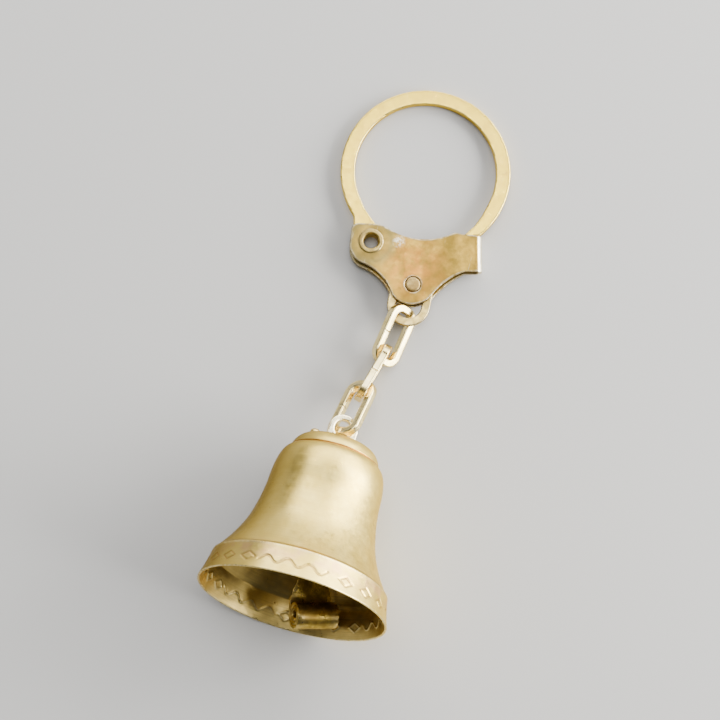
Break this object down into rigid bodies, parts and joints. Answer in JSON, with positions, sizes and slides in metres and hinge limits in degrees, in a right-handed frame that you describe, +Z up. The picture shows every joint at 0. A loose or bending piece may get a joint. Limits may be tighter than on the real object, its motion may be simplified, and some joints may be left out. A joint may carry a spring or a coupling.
{
  "type": "souvenir bell key chain",
  "caption": "Small sheet-brass hand bell with a rolled strip clapper, hung by a short chain from a hinged flat key hoop and its folded clasp.",
  "frame": {"origin": "on the table, at the centre of the outline of the whole object as it lies there", "axes": "+Z up from the table, +Y along the chain from the bell's mouth towards the key hoop, +X to the right when looking down with the hoop at the top"},
  "size_m": [0.0292, 0.0886, 0.0279],
  "materials": {
    "key_hoop_brass": "worn satin",
    "clasp_bronze": "aged satin with worn edges",
    "eyelet_brass": "worn satin",
    "rivet_brass": "worn satin",
    "ring_brass": "worn satin",
    "chain_brass": "worn polish",
    "bell_brass": "satin outside, dull and darker inside",
    "eye_brass": "worn polish",
    "staple_brass": "dull",
    "clapper_brass": "dull, darkened"
  },
  "bodies": {
    "clasp": {"clasp_body": "clasp_bronze", "hinge_eyelet": "eyelet_brass", "clasp_rivet": "rivet_brass"},
    "hoop": {"key_ring": "key_hoop_brass"},
    "ring": {"shackle_ring": "ring_brass"},
    "link_1": {"chain_link_1": "chain_brass"},
    "link_2": {"chain_link_2": "chain_brass"},
    "link_3": {"chain_link_3": "chain_brass"},
    "bell": {"bell_shell": "bell_brass", "crown_eye": "eye_brass", "clapper_staple": "staple_brass"},
    "clapper": {"clapper": "clapper_brass"}
  },
  "joints": [
    {"name": "hoop_hinge", "type": "hinge", "parent": "clasp", "child": "hoop", "pos_m": [-0.00414, 0.01735, 0.00173], "axis": [-0.0122, 0.0437, 0.999], "range_deg": [0, 95]},
    {"name": "shackle_swing", "type": "hinge", "parent": "clasp", "child": "ring", "pos_m": [0.00403, 0.0124, 0.00205], "axis": [-0.0122, 0.0437, 0.999], "range_deg": [-8, 40]},
    {"name": "link_1_swing", "type": "hinge", "parent": "ring", "child": "link_1", "pos_m": [0.00394, 0.00831, 0.00232], "axis": [-0.2588, 0, 0.9659], "range_deg": [-6, 25]},
    {"name": "link_2_swing", "type": "hinge", "parent": "link_1", "child": "link_2", "pos_m": [0.00296, 0.0015, 0.0025], "axis": [0.5, 0, 0.866], "range_deg": [-12, 15]},
    {"name": "link_3_swing", "type": "hinge", "parent": "link_2", "child": "link_3", "pos_m": [0.00072, -0.00694, 0.0036], "axis": [-0.2588, 0, 0.9659], "range_deg": [-35, 2]},
    {"name": "bell_swing", "type": "hinge", "parent": "link_3", "child": "bell", "pos_m": [-0.00024, -0.01278, 0.00607], "axis": [0.5, 0, 0.866], "range_deg": [-40, 8]},
    {"name": "clapper_swing", "type": "hinge", "parent": "bell", "child": "clapper", "pos_m": [-0.00191, -0.01855, 0.00845], "axis": [0.9272, -0.1045, -0.3597], "range_deg": [-30, 0]}
  ]
}
